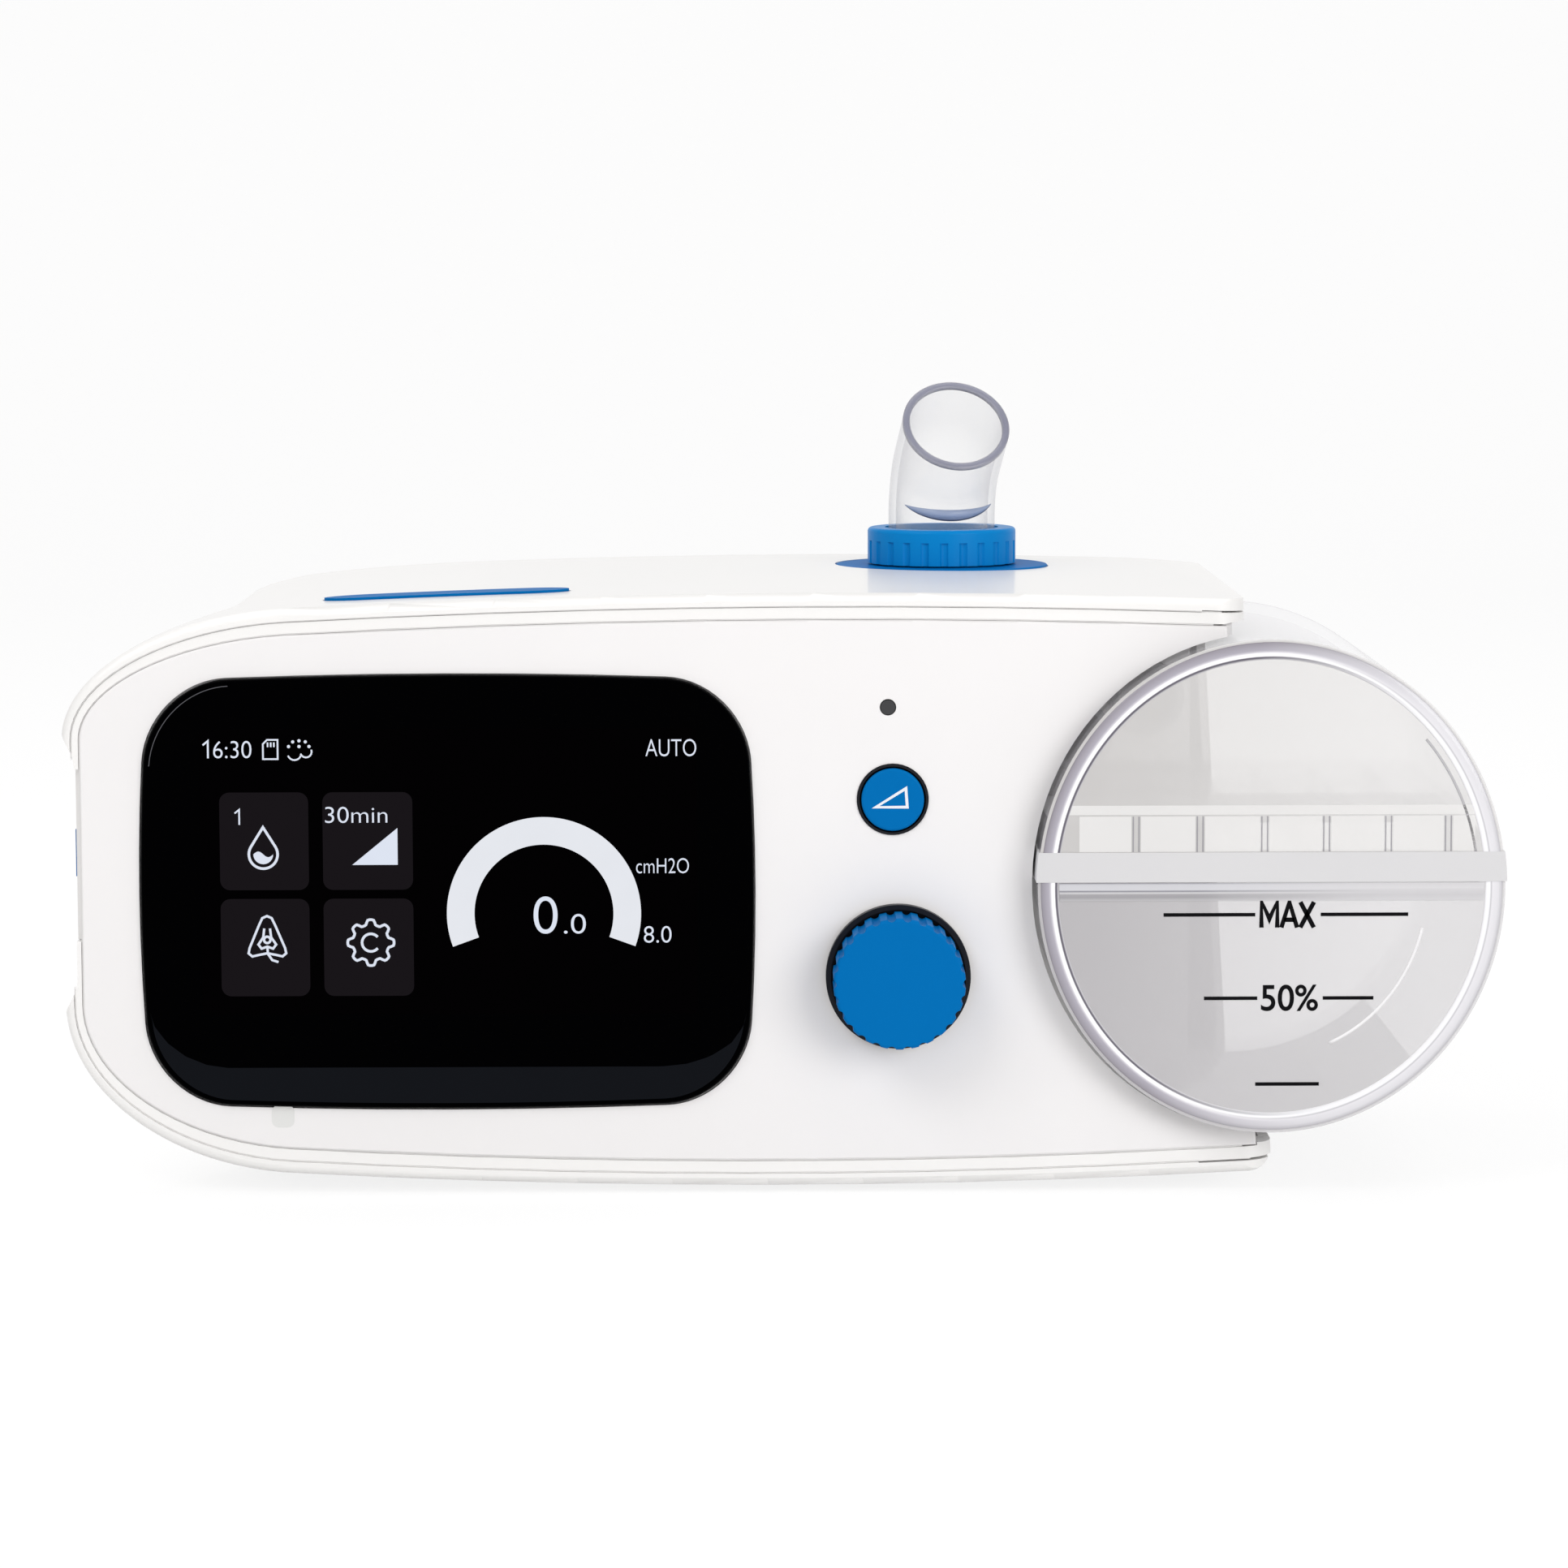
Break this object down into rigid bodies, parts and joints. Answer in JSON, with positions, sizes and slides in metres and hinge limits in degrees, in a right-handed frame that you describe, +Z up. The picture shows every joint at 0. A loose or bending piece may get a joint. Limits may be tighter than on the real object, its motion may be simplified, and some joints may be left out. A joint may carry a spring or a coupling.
{
  "type": "cpap machine",
  "caption": "Bedside CPAP machine: wide white casing with a touch display, push keys and a knob, a clear drum water tank that slides out, and a clear elbow air outlet.",
  "frame": {"origin": "centre of the footprint on the surface that the feet stand on", "axes": "+X to the right as seen from the front (towards the tank), +Y to the back, +Z up"},
  "size_m": [0.2759, 0.1376, 0.1537],
  "materials": {
    "casing_white": "glossy white moulded plastic",
    "panel_white": "satin white moulded plastic",
    "blue_plastic": "semi-gloss blue plastic",
    "black_plastic": "fine matt black plastic",
    "black_glass": "polished cover glass with black backing print",
    "clear_plastic": "clear polished plastic",
    "seal_white": "translucent white silicone",
    "black_rubber": "matt rubber",
    "silicone_grey": "soft grey silicone",
    "liner_grey": "matt light grey plastic",
    "smoked_lens": "smoked light pipe, unlit",
    "circuit_board": "green solder mask",
    "steel": "plain stainless steel",
    "dark_metal": "dark coated metal",
    "copper": "enamelled copper winding",
    "aluminium": "plain aluminium",
    "fan_white": "moulded white plastic",
    "film_amber": "amber heater film",
    "foam_grey": "open-cell grey foam",
    "filter_white": "white filter fleece"
  },
  "bodies": {
    "casing": {"upper_casing": "casing_white", "lower_casing": "casing_white", "front_frame": "casing_white", "front_panel": "panel_white", "tank_cradle": "liner_grey", "display_glass": "black_glass", "glass_gasket": "black_rubber", "lcd_module": "dark_metal", "lcd_bracket": "steel", "display_board": "circuit_board", "card_socket": "steel", "memory_card": "black_plastic", "hinge_pins": "steel", "control_rings": "black_plastic", "key_switches": "black_plastic", "status_light_pipe": "smoked_lens", "status_led": "smoked_lens", "control_board": "circuit_board", "encoder_body": "black_plastic", "start_board": "circuit_board", "main_board": "circuit_board", "board_parts": "black_plastic", "dc_inlet": "black_plastic", "blower_base": "black_plastic", "blower_cover": "black_plastic", "motor_bearings": "steel", "motor_stator": "copper", "motor_can": "aluminium", "blower_mount": "silicone_grey", "blower_hoses": "silicone_grey", "flow_sensor": "black_plastic", "port_seals": "silicone_grey", "outlet_plenum": "liner_grey", "outlet_socket": "blue_plastic", "elbow_seal": "black_rubber", "heater_plate": "aluminium", "heater_film": "film_amber", "feet": "black_rubber", "screws": "steel", "silencer_box": "liner_grey", "silencer_foam": "foam_grey", "filter_pad": "filter_white", "inlet_hose": "silicone_grey"},
    "tank": {"tank_tub": "clear_plastic", "tank_lid": "clear_plastic", "tank_seal": "seal_white", "tank_baffle": "clear_plastic", "tank_heat_shell": "steel"},
    "ramp_button": {"ramp_button": "blue_plastic"},
    "start_button": {"start_button": "blue_plastic"},
    "encoder_plunger": {"encoder_plunger": "black_plastic"},
    "knob": {"knob": "blue_plastic", "knob_shaft": "steel"},
    "elbow": {"elbow": "clear_plastic"},
    "collar": {"collar": "blue_plastic"},
    "filter_door": {"filter_door": "casing_white"},
    "card_door": {"card_door": "blue_plastic"},
    "fan": {"impeller": "fan_white", "motor_shaft": "steel", "motor_rotor": "dark_metal"}
  },
  "joints": [
    {"name": "tank_slide", "type": "slide", "parent": "casing", "child": "tank", "axis": [0, -1, 0], "range_m": [0, 0.112]},
    {"name": "ramp_button_press", "type": "slide", "parent": "casing", "child": "ramp_button", "axis": [0, 1, 0], "range_m": [0, 0.001], "stiffness_N_per_m": 3000, "springref_m": -0.0005},
    {"name": "start_button_press", "type": "slide", "parent": "casing", "child": "start_button", "axis": [0, 0, -1], "range_m": [0, 0.001], "stiffness_N_per_m": 3000, "springref_m": -0.0005},
    {"name": "knob_press", "type": "slide", "parent": "casing", "child": "encoder_plunger", "axis": [0, 1, 0], "range_m": [0, 0.0008], "stiffness_N_per_m": 4000, "springref_m": -0.0005},
    {"name": "knob_turn", "type": "hinge", "parent": "encoder_plunger", "child": "knob", "pos_m": [0.022, -0.05625, 0.0424], "axis": [0, 1, 0], "continuous": true},
    {"name": "elbow_swivel", "type": "hinge", "parent": "casing", "child": "elbow", "pos_m": [0.0334, 0.03175, 0.1159], "axis": [0, 0, 1], "continuous": true},
    {"name": "collar_turn", "type": "hinge", "parent": "casing", "child": "collar", "pos_m": [0.0334, 0.03175, 0.1159], "axis": [0, 0, 1], "range_deg": [0, 45]},
    {"name": "filter_door_hinge", "type": "hinge", "parent": "casing", "child": "filter_door", "pos_m": [-0.1089, 0.00535, 0.0381], "axis": [0, -1, 0], "range_deg": [0, 100]},
    {"name": "card_door_hinge", "type": "hinge", "parent": "casing", "child": "card_door", "pos_m": [-0.135, -0.04505, 0.066], "axis": [0, 0, -1], "range_deg": [0, 120]},
    {"name": "blower_spin", "type": "hinge", "parent": "casing", "child": "fan", "pos_m": [-0.053, 0.02435, 0.066], "axis": [0, 0, 1], "continuous": true}
  ]
}
